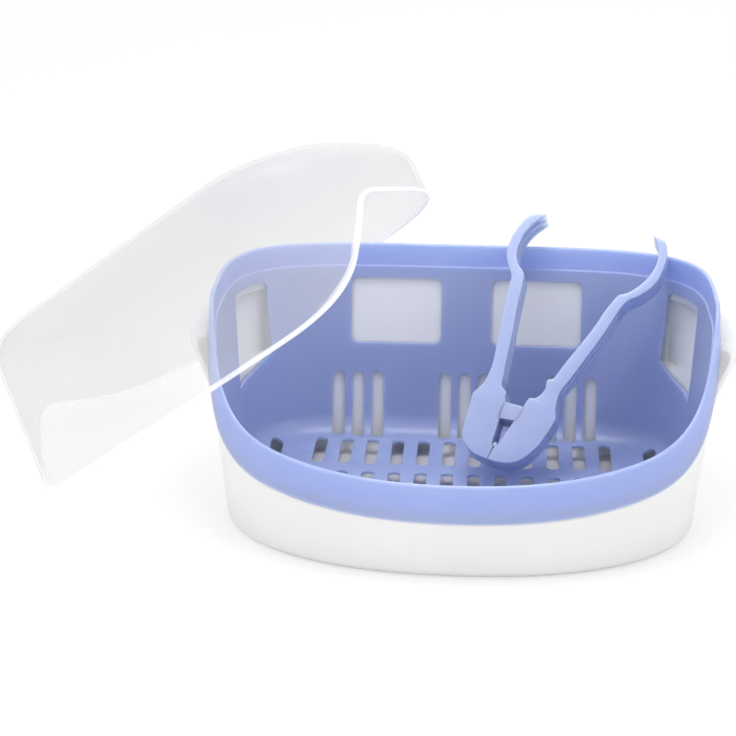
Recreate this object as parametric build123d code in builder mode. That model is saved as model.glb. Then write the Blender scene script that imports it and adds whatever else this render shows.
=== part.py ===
"""Microwave steam sterilizer for baby bottles: tub, basket, lid and tongs.

The origin is the middle of the tub's underside. X runs along the long side, Y away from
the low front lip and Z up. Sizes are millimetres.
"""
import os
from math import cos, radians, sin

from build123d import *

# Rim of the basket, seen from above: the front half is rounder than the back half
RIM_HALF_WIDTH = 140.0
RIM_HALF_DEPTH = 100.0
FRONT_EXPONENT = 2.21
BACK_EXPONENT = 4.35
RIM_HEIGHT = 129.0
OUTLINE_POINTS = 32
BEND_STEPS = 3

# Side view of the rim: level behind, then two straight slopes down to the front lip
SCOOP_TOP_Y = -8.3
SCOOP_FOOT_Y = -48.3
SCOOP_FOOT_HEIGHT = 71.0
FRONT_LIP_HEIGHT = 55.5
SCOOP_TOP_RADIUS = 20.0
SCOOP_FOOT_RADIUS = 78.0

# Collar: the band of the basket that hangs over the tub's top edge
COLLAR_HEIGHT = 20.0
COLLAR_FLARE = 1.6
COLLAR_WALL = 2.4
LEDGE_DROP = 13.3
LEDGE_THICKNESS = 2.0
LEDGE_INSET = 3.6
REST_CLEARANCE = 0.3

# Tub, with a hollow grip bulging from each end under the collar
TUB_WALL = 2.5
TUB_FLOOR = 2.5
TUB_FOOT_INSET = 8.6
TUB_BOWL_GAP = 0.1
GRIP_REACH = 14.0
GRIP_HALF_LENGTH = 72.0
GRIP_MIDDLE_Y = 18.0
GRIP_ROOT_DEPTH = 20.0
GRIP_TOP_DROP = 3.0
GRIP_FULL_DROP = 11.0
GRIP_FOOT_DROP = 49.0

# Basket
BASKET_WALL = 2.0
BASKET_FLOOR_TOP = 13.0
BASKET_FLOOR_INSET = 13.2
BASKET_FLOOR_RADIUS = 12.0

# Steam slots in the basket's floor and back wall
SLOT_WIDTH = 7.3
SLOT_PITCH = 15.33
SLOT_ROWS = ((55.0, 40.0, 12), (4.75, 39.5, 12), (-43.5, 37.0, 10))
END_SLOT_X = 110.5
END_SLOT_LENGTH = 34.0
END_SLOT_Y = 49.0
WALL_SLOT_PITCH = 11.66
WALL_SLOT_GROUP = 63.8
WALL_SLOT_TOP = 51.0
WALL_SLOT_INSET = 21.0

# Windows in the basket's back wall and round its two back corners
WINDOW_TOP_DROP = 20.5
WINDOW_HEIGHT = 39.7
WINDOW_MIDDLE_X = 41.6
WINDOW_WIDTH = 53.6
WINDOW_RADIUS = 4.5
CORNER_WINDOW_BACK = 26.5
CORNER_WINDOW_END = 57.0
CORNER_WINDOW_TIP = 62.0
CORNER_WINDOW_BEND = 42.0
CORNER_WINDOW_TIP_HEIGHT = 54.5
CORNER_WINDOW_BEND_HEIGHT = 57.5
CORNER_WINDOW_BACK_HEIGHT = 67.0
CORNER_CUT_START = 108.0
CORNER_CUT_DEPTH = 45.0

# Lid, in the place where it sits when it is closed on the basket's ledge
LID_CLEARANCE = 0.4
LID_WALL = 2.0
LID_ROOF_ABOVE_RIM = 24.0
LID_ROOF_RADIUS = 16.0
LID_DRAFT = 2.0
LID_FRONT_LEAN = 22.0
LID_FRONT_BEND = 14.0
LID_FOOT = FRONT_LIP_HEIGHT - LEDGE_DROP

# The lid is shown taken off, leaning over the left back corner of the basket
LID_PIVOT_HEIGHT = 95.0
LID_PLACE = (-141.44, 35.24, 88.15)
LID_LONG_AXIS = (0.73733, -0.30758, 0.60144)
LID_ROOF_AXIS = (-0.44253, 0.45276, 0.77406)

# Tongs: a flat spring moulding whose two halves meet at a bridge. Along is measured from
# the joined end towards the hooks, across from the line between the halves
TONGS_DEPTH = 22.0
TONGS_BASE = (18.34, 0.72, 29.72)
TONGS_ACROSS = (0.9155, -0.3029, -0.2648)
TONGS_FACE = (-0.110, -0.822, 0.559)
TONGS_HALF_GAP = 0.2
BRIDGE_ALONG = 25.5
BRIDGE_RADIUS = 5.5
BRIDGE_CLEARANCE = 0.3
TAIL_OUTER = ((12.0, -1.2), (21.5, 5.5), (25.0, 17.0), (25.0, 30.0), (21.6, 38.0))
ARM_OUTER = ((21.6, 38.0), (21.6, 58.0), (25.3, 80.0), (31.0, 105.0))
HOOK_OUTER = ((31.0, 105.0), (39.5, 113.5), (44.8, 131.0), (41.2, 146.0), (37.6, 151.0))
HOOK_INNER = ((31.4, 152.4), (37.0, 144.0), (40.0, 131.0), (35.8, 119.0), (27.6, 109.0))
ARM_INNER = ((27.6, 109.0), (24.3, 97.0), (16.0, 60.0), (12.5, 49.0))
NOTCH_INNER = ((12.5, 49.0), (9.5, 40.0), (6.0, 36.0), (4.6, 31.0))
SLOT_INNER = ((4.6, 31.0), (4.2, 20.0), (1.0, 4.0))

MARGIN = 40.0


def oval(inset, front=FRONT_EXPONENT, back=BACK_EXPONENT):
    """Points of the rim's outline moved in by inset, with its own roundness front and back."""
    points = []
    for i in range(OUTLINE_POINTS):
        angle = radians(360 * (i + 0.5) / OUTLINE_POINTS)
        power = back if sin(angle) > 0 else front
        reach = (abs(cos(angle)) ** power + abs(sin(angle)) ** power) ** (-1 / power)
        x = (RIM_HALF_WIDTH - inset) * reach * cos(angle)
        y = (RIM_HALF_DEPTH - inset) * reach * sin(angle)
        points.append((x, y))
    return points


def rim_height(y):
    """Height of the rim at a place in Y, without the rounding of its two bends."""
    gentle = (SCOOP_FOOT_HEIGHT - FRONT_LIP_HEIGHT) / (SCOOP_FOOT_Y + RIM_HALF_DEPTH)
    steep = (RIM_HEIGHT - SCOOP_FOOT_HEIGHT) / (SCOOP_TOP_Y - SCOOP_FOOT_Y)
    slope = gentle if y < SCOOP_FOOT_Y else steep
    return min(RIM_HEIGHT, SCOOP_FOOT_HEIGHT + slope * (y - SCOOP_FOOT_Y))


def ring(low, low_height, high, high_height, height):
    """Outline at a height of the straight-ruled wall between two outlines.

    low_height and high_height give the height of each outline from the rim's height there,
    so that the wall carries on straight above and below them.
    """
    points = []
    for (x0, y0), (x1, y1) in zip(low, high):
        rim = rim_height(y1)
        bottom, top = low_height(rim), high_height(rim)
        t = (height - bottom) / (top - bottom)
        points.append((x0 + (x1 - x0) * t, y0 + (y1 - y0) * t))
    return points


def tub_ring(height, wall):
    """Outline of the tub at one height, wall inside its outer face."""
    low = oval(TUB_FOOT_INSET + wall)
    high = oval(LEDGE_INSET - BASKET_WALL - TUB_BOWL_GAP - TUB_WALL + wall)
    return ring(low, lambda rim: 0.0, high, lambda rim: rim - COLLAR_HEIGHT, height)


def collar_ring(height, wall):
    """Outline of the collar at one height, wall inside its outer face."""
    low = oval(wall - COLLAR_FLARE)
    return ring(low, lambda rim: rim - COLLAR_HEIGHT, oval(wall), lambda rim: rim, height)


def bowl_ring(height, wall):
    """Outline of the basket's bowl at one height, wall outside its inner face."""
    radius = BASKET_FLOOR_RADIUS + wall
    drop = max(0.0, radius - (height - BASKET_FLOOR_TOP + wall))
    rounding = radius - (radius**2 - drop**2) ** 0.5
    low = oval(BASKET_FLOOR_INSET - wall + rounding)
    high = oval(LEDGE_INSET - wall + rounding)
    return ring(low, lambda rim: BASKET_FLOOR_TOP, high, lambda rim: rim - LEDGE_DROP, height)


def bowl_levels(wall):
    """Heights round the bend from the bowl's floor into its wall, then the wall's top."""
    radius = BASKET_FLOOR_RADIUS + wall
    turns = [radians(90 * i / BEND_STEPS) for i in range(BEND_STEPS + 1)]
    bends = [BASKET_FLOOR_TOP - wall + radius * (1 - cos(turn)) for turn in turns]
    return [*bends, RIM_HEIGHT + REST_CLEARANCE]


def lid_ring(height, wall):
    """Outline of the closed lid at one height, wall inside its outer face.

    The front of the wall leans back and flattens from the lid's foot up to its roof.
    """
    roof = RIM_HEIGHT + LID_ROOF_ABOVE_RIM - wall
    radius = LID_ROOF_RADIUS - wall
    rise = min(radius, max(0.0, height - (roof - radius)))
    lean = LID_DRAFT * max(0.0, height) / roof
    inset = COLLAR_WALL + LID_CLEARANCE + wall + lean + radius - (radius**2 - rise**2) ** 0.5
    share = max(0.0, height - LID_FOOT) / (roof - LID_FOOT)
    flat = RIM_HALF_DEPTH - inset - LID_FRONT_LEAN
    points = []
    for x, y in oval(inset):
        if y < 0:
            level = -(abs(y) ** -LID_FRONT_BEND + flat**-LID_FRONT_BEND) ** (-1 / LID_FRONT_BEND)
            y += share * (level - y)
        points.append((x, y))
    return points


def round_levels(low, radius, steps=BEND_STEPS):
    """Heights round a quarter bend that starts at low and ends just short of radius."""
    return [low + radius * sin(radians(80 * (i + 1) / steps)) for i in range(steps)]


def stack(section, heights, wall):
    """A solid through the outlines that section gives at the heights."""
    with BuildPart() as body:
        for height in heights:
            with BuildSketch(Plane.XY.offset(height)):
                with BuildLine():
                    Spline(*section(height, wall), periodic=True)
                make_face()
        loft(ruled=True)
    return body.part


def under_rim(drop):
    """The space below the rim's side view lowered by drop, wider than the object."""
    reach_x = RIM_HALF_WIDTH + MARGIN
    reach_y = RIM_HALF_DEPTH + MARGIN
    gentle = (SCOOP_FOOT_HEIGHT - FRONT_LIP_HEIGHT) / (SCOOP_FOOT_Y + RIM_HALF_DEPTH)
    foot = (SCOOP_FOOT_Y, SCOOP_FOOT_HEIGHT - drop)
    top = (SCOOP_TOP_Y, RIM_HEIGHT - drop)
    with BuildPart() as space:
        with BuildSketch(Plane.YZ.offset(-reach_x)) as side:
            with BuildLine():
                Polyline(
                    (-reach_y, FRONT_LIP_HEIGHT - gentle * MARGIN - drop),
                    foot,
                    top,
                    (reach_y, RIM_HEIGHT - drop),
                    (reach_y, -MARGIN),
                    (-reach_y, -MARGIN),
                    close=True,
                )
            make_face()
            fillet(side.vertices().sort_by_distance(foot)[0], radius=SCOOP_FOOT_RADIUS)
            fillet(side.vertices().sort_by_distance(top)[0], radius=SCOOP_TOP_RADIUS)
        extrude(amount=2 * reach_x)
    return space.part


def grip(wall):
    """The bulge of the right-hand grip, wall inside its outer face."""
    root_x = RIM_HALF_WIDTH - GRIP_ROOT_DEPTH
    half = GRIP_HALF_LENGTH - wall
    top = RIM_HEIGHT - COLLAR_HEIGHT - GRIP_TOP_DROP - wall
    full = RIM_HEIGHT - COLLAR_HEIGHT - GRIP_FULL_DROP
    foot = RIM_HEIGHT - COLLAR_HEIGHT - GRIP_FOOT_DROP + wall
    shapes = ((foot, RIM_HALF_WIDTH - TUB_WALL), (full, RIM_HALF_WIDTH + GRIP_REACH))
    with BuildPart() as bulge:
        for height, reach in shapes:
            with BuildSketch(Plane.XY.offset(height)):
                with BuildLine():
                    start = (root_x, GRIP_MIDDLE_Y - half)
                    end = (root_x, GRIP_MIDDLE_Y + half)
                    ThreePointArc(start, (reach - wall, GRIP_MIDDLE_Y), end)
                    Line(end, start)
                make_face()
        loft(ruled=True)
        extrude(bulge.faces().sort_by(Axis.Z)[-1], amount=top - full)
    return bulge.part


os.makedirs("parts", exist_ok=True)

wall_top = RIM_HEIGHT + REST_CLEARANCE

# Tub: carries the basket on its top edge and holds the water
with BuildPart() as base_tub:
    add(stack(tub_ring, (0, wall_top), 0))
    right_grip = grip(0)
    add(right_grip)
    add(mirror(right_grip, about=Plane.YZ))
    add(stack(tub_ring, (TUB_FLOOR, wall_top), TUB_WALL), mode=Mode.SUBTRACT)
    right_hollow = grip(TUB_WALL)
    add(right_hollow, mode=Mode.SUBTRACT)
    add(mirror(right_hollow, about=Plane.YZ), mode=Mode.SUBTRACT)
    add(under_rim(COLLAR_HEIGHT + REST_CLEARANCE), mode=Mode.INTERSECT)

base_tub.part.label = "base_tub"
export_step(base_tub.part, "parts/base_tub.step")

# Basket: collar skin, ledge and slotted bowl in one moulding
collar_start = FRONT_LIP_HEIGHT - COLLAR_HEIGHT - COLLAR_HEIGHT / 2
with BuildPart() as collar:
    add(stack(collar_ring, (collar_start, wall_top), 0))
    add(stack(collar_ring, (collar_start, wall_top), COLLAR_WALL), mode=Mode.SUBTRACT)
    add(under_rim(0), mode=Mode.INTERSECT)
    add(under_rim(COLLAR_HEIGHT), mode=Mode.SUBTRACT)

with BuildPart() as ledge:
    add(stack(collar_ring, (collar_start, wall_top), COLLAR_WALL / 2))
    add(under_rim(LEDGE_DROP), mode=Mode.INTERSECT)
    add(under_rim(LEDGE_DROP + LEDGE_THICKNESS), mode=Mode.SUBTRACT)

floor_bottom = BASKET_FLOOR_TOP - BASKET_WALL
with BuildPart() as basket:
    add(stack(bowl_ring, bowl_levels(BASKET_WALL), BASKET_WALL))
    add(under_rim(LEDGE_DROP + LEDGE_THICKNESS / 2), mode=Mode.INTERSECT)
    add(ledge.part)
    add(stack(bowl_ring, bowl_levels(0), 0), mode=Mode.SUBTRACT)

    # Slots through the floor
    cut_height = BASKET_WALL + 2 * REST_CLEARANCE
    with BuildSketch(Plane.XY.offset(floor_bottom - REST_CLEARANCE)):
        for middle_y, length, columns in SLOT_ROWS:
            with Locations((0, middle_y)):
                with GridLocations(SLOT_PITCH, 0, columns, 1):
                    SlotOverall(length, SLOT_WIDTH, rotation=90)
        with Locations((-END_SLOT_X, END_SLOT_Y), (END_SLOT_X, END_SLOT_Y)):
            SlotOverall(END_SLOT_LENGTH, SLOT_WIDTH, rotation=90)
    extrude(amount=cut_height, mode=Mode.SUBTRACT)

    # Slots up the back wall, open at the bottom into the floor's edge
    wall_slot_length = WALL_SLOT_TOP - floor_bottom + SLOT_WIDTH
    with BuildSketch(Plane.XZ.offset(-(RIM_HALF_DEPTH - WALL_SLOT_INSET))):
        with Locations((-WALL_SLOT_GROUP, 0), (0, 0), (WALL_SLOT_GROUP, 0)):
            with Locations((0, WALL_SLOT_TOP - wall_slot_length / 2)):
                with GridLocations(WALL_SLOT_PITCH, 0, 3, 1):
                    SlotOverall(wall_slot_length, SLOT_WIDTH, rotation=90)
    extrude(amount=-WALL_SLOT_INSET, mode=Mode.SUBTRACT)

    # Windows through the back wall
    window_top = RIM_HEIGHT - WINDOW_TOP_DROP
    with BuildSketch(Plane.XZ.offset(-(RIM_HALF_DEPTH - WALL_SLOT_INSET))):
        for side_x in (-WINDOW_MIDDLE_X, WINDOW_MIDDLE_X):
            with Locations((side_x, window_top - WINDOW_HEIGHT / 2)):
                RectangleRounded(WINDOW_WIDTH, WINDOW_HEIGHT, WINDOW_RADIUS)
    extrude(amount=-WALL_SLOT_INSET, mode=Mode.SUBTRACT)

    # Windows round the two back corners, cut along each corner's diagonal
    diagonal = Plane(origin=(0, 0, 0), x_dir=(-1, 1, 0), z_dir=(1, 1, 0))
    with BuildPart(mode=Mode.PRIVATE) as corner_window:
        with BuildSketch(diagonal.offset(CORNER_CUT_START)) as opening:
            with BuildLine():
                Polyline(
                    (-CORNER_WINDOW_BACK, window_top),
                    (-CORNER_WINDOW_END, window_top),
                    (-CORNER_WINDOW_TIP, CORNER_WINDOW_TIP_HEIGHT),
                    (-CORNER_WINDOW_BEND, CORNER_WINDOW_BEND_HEIGHT),
                    (-CORNER_WINDOW_BACK, CORNER_WINDOW_BACK_HEIGHT),
                    close=True,
                )
            make_face()
            fillet(opening.vertices().group_by(Axis.Y)[-1], radius=WINDOW_RADIUS)
        extrude(amount=CORNER_CUT_DEPTH)
    add(corner_window.part, mode=Mode.SUBTRACT)
    add(mirror(corner_window.part, about=Plane.YZ), mode=Mode.SUBTRACT)
    add(collar.part)

basket.part.label = "basket"
export_step(basket.part, "parts/basket.step")

# Lid: a clear dome whose lower edge follows the ledge, moved from closed to leaning
lid_low = LID_FOOT - MARGIN
lid_roof = RIM_HEIGHT + LID_ROOF_ABOVE_RIM
bend = lid_roof - LID_ROOF_RADIUS
with BuildPart() as closed_lid:
    add(stack(lid_ring, [lid_low, LID_FOOT, bend, *round_levels(bend, LID_ROOF_RADIUS), lid_roof], 0))
    inner_radius = LID_ROOF_RADIUS - LID_WALL
    inner_levels = [lid_low, LID_FOOT, bend, *round_levels(bend, inner_radius), lid_roof - LID_WALL]
    add(stack(lid_ring, inner_levels, LID_WALL), mode=Mode.SUBTRACT)
    add(under_rim(LEDGE_DROP - REST_CLEARANCE), mode=Mode.SUBTRACT)

lid_pose = Plane(origin=LID_PLACE, x_dir=LID_LONG_AXIS, z_dir=LID_ROOF_AXIS)
with BuildPart() as lid:
    with Locations(lid_pose):
        add(Pos(0, 0, -LID_PIVOT_HEIGHT) * closed_lid.part)

lid.part.label = "lid"
export_step(lid.part, "parts/lid.step")

# Tongs: two halves that turn about the middle of the bridge
tongs_plane = Plane(origin=TONGS_BASE, x_dir=TONGS_ACROSS, z_dir=TONGS_FACE)


def tongs_half():
    """The right-hand half, with its seat round the bridge."""
    with BuildPart() as half:
        with BuildSketch(tongs_plane):
            with BuildLine():
                foot = (TONGS_HALF_GAP, -3.0)
                heel = (TONGS_HALF_GAP, SLOT_INNER[-1][1])
                Spline(foot, *TAIL_OUTER)
                Spline(*ARM_OUTER)
                Spline(*HOOK_OUTER)
                Line(HOOK_OUTER[-1], HOOK_INNER[0])
                Spline(*HOOK_INNER)
                Spline(*ARM_INNER)
                Spline(*NOTCH_INNER)
                Polyline(*SLOT_INNER, heel, foot)
            make_face()
            with Locations((0, BRIDGE_ALONG)):
                Circle(BRIDGE_RADIUS + BRIDGE_CLEARANCE, mode=Mode.SUBTRACT)
        extrude(amount=-TONGS_DEPTH)
    return half.part


middle_plane = Plane(origin=tongs_plane.origin, x_dir=tongs_plane.z_dir, z_dir=tongs_plane.x_dir)

with BuildPart() as tongs_right_arm:
    add(tongs_half())

tongs_right_arm.part.label = "tongs_right_arm"
export_step(tongs_right_arm.part, "parts/tongs_right_arm.step")

with BuildPart() as tongs_left_arm:
    add(mirror(tongs_half(), about=middle_plane))

tongs_left_arm.part.label = "tongs_left_arm"
export_step(tongs_left_arm.part, "parts/tongs_left_arm.step")

with BuildPart() as tongs_bridge:
    with BuildSketch(tongs_plane):
        with Locations((0, BRIDGE_ALONG)):
            Circle(BRIDGE_RADIUS)
    extrude(amount=-TONGS_DEPTH)

tongs_bridge.part.label = "tongs_bridge"
export_step(tongs_bridge.part, "parts/tongs_bridge.step")
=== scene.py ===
"""Looks of a microwave steam sterilizer for baby bottles: tub, basket, lid and tongs.

Every length in the classes is in millimetres and becomes metres when a mesh is made. X runs
along the long side, Y away from the low front lip and Z up.
"""

import logging
from dataclasses import dataclass
from enum import Enum

import bmesh
import bpy
import numpy as np
from mathutils import Matrix, Vector


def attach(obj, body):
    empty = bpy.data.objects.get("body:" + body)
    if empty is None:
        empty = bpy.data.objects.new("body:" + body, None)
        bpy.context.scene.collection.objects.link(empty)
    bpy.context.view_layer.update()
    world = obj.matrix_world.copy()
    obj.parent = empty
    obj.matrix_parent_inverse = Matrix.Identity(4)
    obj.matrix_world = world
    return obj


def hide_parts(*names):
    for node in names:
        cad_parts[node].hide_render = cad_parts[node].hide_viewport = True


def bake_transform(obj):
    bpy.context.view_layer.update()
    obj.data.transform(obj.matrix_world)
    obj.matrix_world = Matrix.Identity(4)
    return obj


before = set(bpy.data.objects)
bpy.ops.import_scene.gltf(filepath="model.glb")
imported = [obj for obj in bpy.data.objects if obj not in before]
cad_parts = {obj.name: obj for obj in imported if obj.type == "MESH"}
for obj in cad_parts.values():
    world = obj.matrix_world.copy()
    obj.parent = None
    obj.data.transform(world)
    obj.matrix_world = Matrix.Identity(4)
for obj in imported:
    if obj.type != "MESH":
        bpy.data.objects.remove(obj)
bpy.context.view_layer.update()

log = logging.getLogger("sterilizer")
logging.basicConfig(level=logging.INFO, format="%(name)s: %(message)s")

METRES = 0.001
FULL_TURN = 2 * np.pi
MERGE_DISTANCE = 2e-6
SHORTEST_EDGE = 1e-6
SMOOTH_BELOW = 40.0
LIP = "lip"

Piece = bpy.types.Object
Grid = tuple[np.ndarray, bool, bool]
Triple = tuple[float, float, float]
Pairs = tuple[tuple[float, float], ...]
Sizes = tuple[float, ...]
Stations = tuple[tuple[float, float, float, float], ...]


class Body(Enum):
    """The CAD bodies that the pieces ride on."""

    TUB = "tub"
    TRAY = "tray"
    COVER = "cover"
    TONGS_LEFT = "tongs_left"
    TONGS_RIGHT = "tongs_right"


class Slot(Enum):
    """The record's material slots."""

    WHITE = "white_plastic"
    LAVENDER = "lavender_plastic"
    CLEAR = "clear_plastic"
    TONGS = "tongs_plastic"


class Side(Enum):
    """Left and right, as the sign of their direction."""

    LEFT = -1
    RIGHT = 1


# Meshes


def new_object(name: str, points: np.ndarray, faces: np.ndarray) -> Piece:
    """Makes a mesh object from points in millimetres and quads.

    Args:
        name: the object's name.
        points: an (n, 3) array of places.
        faces: an (m, 4) array of point indices.

    Returns:
        The linked object, at the origin.
    """
    mesh = bpy.data.meshes.new(name)
    mesh.from_pydata((points * METRES).tolist(), [], faces.tolist())
    mesh.update()
    piece = bpy.data.objects.new(name, mesh)
    bpy.context.collection.objects.link(piece)
    return piece


def grid_faces(rows: int, columns: int, wrap_rows: bool, wrap_columns: bool, start: int) -> np.ndarray:
    """Quads of a grid of points stored row after row.

    Args:
        rows: number of rows.
        columns: number of columns.
        wrap_rows: whether the last row joins the first.
        wrap_columns: whether the last column joins the first.
        start: index of the grid's first point.

    Returns:
        An (m, 4) array of point indices.
    """
    index = np.arange(rows * columns).reshape(rows, columns) + start
    index = np.pad(index, ((0, int(wrap_rows)), (0, int(wrap_columns))), mode="wrap")
    corners = [index[:-1, :-1], index[:-1, 1:], index[1:, 1:], index[1:, :-1]]
    return np.stack(corners, -1).reshape(-1, 4)


def grid_object(name: str, grids: list[Grid]) -> Piece:
    """Makes one object from several grids, merges their seams and turns the faces outwards.

    Args:
        name: the object's name.
        grids: for each grid its (rows, columns, 3) points and whether rows and columns wrap.

    Returns:
        The smooth shaded object.
    """
    points, faces, start = [], [], 0
    for grid, wrap_rows, wrap_columns in grids:
        rows, columns = grid.shape[:2]
        points.append(grid.reshape(-1, 3))
        faces.append(grid_faces(rows, columns, wrap_rows, wrap_columns, start))
        start += rows * columns
    piece = new_object(name, np.concatenate(points), np.concatenate(faces))
    clean(piece, SMOOTH_BELOW)
    return piece


def clean(piece: Piece, smooth_below: float) -> None:
    """Merges doubled points, turns faces outwards and sets the shading.

    Args:
        piece: the mesh object.
        smooth_below: edges that turn by more than this many degrees are sharp.
    """
    shape = bmesh.new()
    shape.from_mesh(piece.data)
    bmesh.ops.remove_doubles(shape, verts=shape.verts, dist=MERGE_DISTANCE)
    bmesh.ops.dissolve_degenerate(shape, edges=shape.edges, dist=SHORTEST_EDGE)
    bmesh.ops.recalc_face_normals(shape, faces=shape.faces)
    shape.to_mesh(piece.data)
    shape.free()
    shade(piece, smooth_below)


def shade(piece: Piece, smooth_below: float) -> None:
    """Shades a piece smooth, apart from edges that turn by more than smooth_below degrees."""
    piece.data.shade_smooth()
    piece.data.set_sharp_from_angle(angle=np.radians(smooth_below))


def cut(piece: Piece, cutters: list[Piece]) -> None:
    """Cuts the joined cutters out of a piece and removes them.

    Args:
        piece: the closed mesh to cut.
        cutters: closed meshes that don't touch each other.
    """
    with bpy.context.temp_override(active_object=cutters[0], selected_editable_objects=cutters):
        bpy.ops.object.join()
    tool = cutters[0]
    change = piece.modifiers.new("cut", "BOOLEAN")
    change.operation, change.solver, change.object = "DIFFERENCE", "EXACT", tool
    apply_modifiers(piece)
    bpy.data.objects.remove(tool)


def bevel(piece: Piece, width: float, segments: int, angle: float) -> None:
    """Rounds the sharp edges of a piece.

    Args:
        piece: the mesh object.
        width: width of the round in millimetres.
        segments: number of steps in the round.
        angle: edges that turn by less than this many degrees stay.
    """
    change = piece.modifiers.new("bevel", "BEVEL")
    change.width, change.segments = width * METRES, segments
    change.limit_method, change.angle_limit = "ANGLE", np.radians(angle)
    change.use_clamp_overlap = True
    change.miter_outer = "MITER_ARC"
    apply_modifiers(piece)
    shade(piece, angle)


def apply_modifiers(piece: Piece) -> None:
    """Puts the result of a piece's modifiers into its mesh."""
    graph = bpy.context.evaluated_depsgraph_get()
    mesh = bpy.data.meshes.new_from_object(piece.evaluated_get(graph))
    piece.modifiers.clear()
    piece.data = mesh


def through(knots: np.ndarray, count: int) -> np.ndarray:
    """A smooth line through knots: a uniform Catmull-Rom spline, sampled evenly in knot number.

    Between knots b and c, with neighbours a and d, and t from 0 to 1, a point is half of
    2 b + (c - a) t + (2 a - 5 b + 4 c - d) t^2 + (3 b - a - 3 c + d) t^3.

    Args:
        knots: an (n, d) array of places.
        count: number of points wanted.

    Returns:
        A (count, d) array.
    """
    before, after = 2 * knots[:1] - knots[1:2], 2 * knots[-1:] - knots[-2:-1]
    padded = np.concatenate([before, knots, after])
    where = np.linspace(0, len(knots) - 1, count)
    span = np.minimum(where.astype(int), len(knots) - 2)
    t = (where - span)[:, None]
    a, b, c, d = (padded[span + k] for k in range(4))
    cubic = (2 * a - 5 * b + 4 * c - d) * t**2 + (3 * b - a - 3 * c + d) * t**3
    return 0.5 * (2 * b + (c - a) * t + cubic)


# The outline and the rim that every shell follows


@dataclass(frozen=True)
class Outline:
    """Plan and side view of the basket's rim.

    The plan is a superellipse, rounder in front than behind. The side view is level behind,
    then falls in two straight slopes that are joined by arcs.
    """

    half_width: float = 140.0
    half_depth: float = 100.0
    front_exponent: float = 2.21
    back_exponent: float = 4.35
    height: float = 129.0
    scoop_top_y: float = -8.3
    scoop_foot_y: float = -48.3
    scoop_foot_height: float = 71.0
    front_height: float = 55.5
    top_radius: float = 20.0
    foot_radius: float = 78.0
    steps: int = 320

    def plan(self, inset: np.ndarray | float) -> np.ndarray:
        """Points of the plan moved in by inset.

        x = (a - inset) r cos t and y = (b - inset) r sin t, where r makes
        |cos t|^n + |sin t|^n times r^n equal to 1, and n is larger behind. The angles t are
        half a step off the axes.

        Args:
            inset: distance from the rim, one value or one for each row.

        Returns:
            An array that ends in the points' x and y.
        """
        t = (np.arange(self.steps) + 0.5) * FULL_TURN / self.steps
        n = np.where(np.sin(t) > 0, self.back_exponent, self.front_exponent)
        r = (np.abs(np.cos(t)) ** n + np.abs(np.sin(t)) ** n) ** (-1 / n)
        inset = np.asarray(inset, float)[..., None]
        x = (self.half_width - inset) * r * np.cos(t)
        y = (self.half_depth - inset) * r * np.sin(t)
        return np.stack([x, y], -1)

    def rim(self, y: np.ndarray) -> np.ndarray:
        """Height of the rim: two slopes and a level, with an arc in each corner.

        Args:
            y: distances behind the middle.

        Returns:
            The height over each y.
        """
        gentle = (self.scoop_foot_height - self.front_height) / (self.scoop_foot_y + self.half_depth)
        steep = (self.height - self.scoop_foot_height) / (self.scoop_top_y - self.scoop_foot_y)
        low = self.scoop_foot_height + gentle * (y - self.scoop_foot_y)
        middle = self.scoop_foot_height + steep * (y - self.scoop_foot_y)
        z = np.minimum(np.maximum(low, middle), self.height)
        corners = (
            (self.scoop_foot_y, self.scoop_foot_height, gentle, steep, self.foot_radius, 1),
            (self.scoop_top_y, self.height, steep, 0.0, self.top_radius, -1),
        )
        for corner_y, corner_z, before, after, radius, bend in corners:
            start, end = np.arctan(before), np.arctan(after)
            tangent = radius * abs(np.tan((end - start) / 2))
            first = corner_y - tangent * np.cos(start)
            last = corner_y + tangent * np.cos(end)
            centre_y = first - bend * radius * np.sin(start)
            centre_z = corner_z - tangent * np.sin(start) + bend * radius * np.cos(start)
            arc = centre_z - bend * np.sqrt(np.maximum(0, radius**2 - (y - centre_y) ** 2))
            z = np.where((y > first) & (y < last), arc, z)
        return z


RIM = Outline()


def hung(inset: np.ndarray, drop: np.ndarray) -> np.ndarray:
    """Rings that hang from the rim: each is the plan moved in, lowered by drop from the rim.

    Args:
        inset: distance inside the rim for each ring.
        drop: distance below the rim for each ring.

    Returns:
        A (rings, points, 3) array.
    """
    plan = RIM.plan(inset)
    z = RIM.rim(plan[..., 1]) - np.asarray(drop, float)[:, None]
    return np.concatenate([plan, z[..., None]], -1)


def between(low: np.ndarray, high: np.ndarray, share: np.ndarray) -> np.ndarray:
    """Rings on the straight lines from a low ring to a high ring.

    Args:
        low: (points, 3) ring.
        high: (points, 3) ring.
        share: how far up each ring lies, 0 to 1.

    Returns:
        A (rings, points, 3) array.
    """
    return low + (high - low) * np.asarray(share, float)[:, None, None]


def disc(ring: np.ndarray, sizes: Sizes) -> np.ndarray:
    """Rings that shrink from a flat ring to its middle.

    Args:
        ring: (points, 3) ring at one height.
        sizes: size of each ring against the first, ending in 0.

    Returns:
        A (rings, points, 3) array.
    """
    middle = ring.mean(0)
    return middle + (ring - middle) * np.array(sizes)[:, None, None]


def square(first: Triple, third: Triple) -> np.ndarray:
    """Three unit directions at right angles to each other, from two that are nearly so.

    Args:
        first: the direction that is turned a little, to stand square to the third.
        third: the direction that stays.

    Returns:
        Rows: the first, the second (third cross first) and the third.
    """
    out = np.array(third) / np.linalg.norm(third)
    along = np.array(first) - np.dot(first, out) * out
    along /= np.linalg.norm(along)
    return np.stack([along, np.cross(out, along), out])


def quarter(steps: int) -> tuple[np.ndarray, np.ndarray]:
    """Sines and cosines of angles spread evenly over a quarter turn, in steps points."""
    angles = np.linspace(0, FULL_TURN / 4, steps)
    return np.sin(angles), np.cos(angles)


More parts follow.
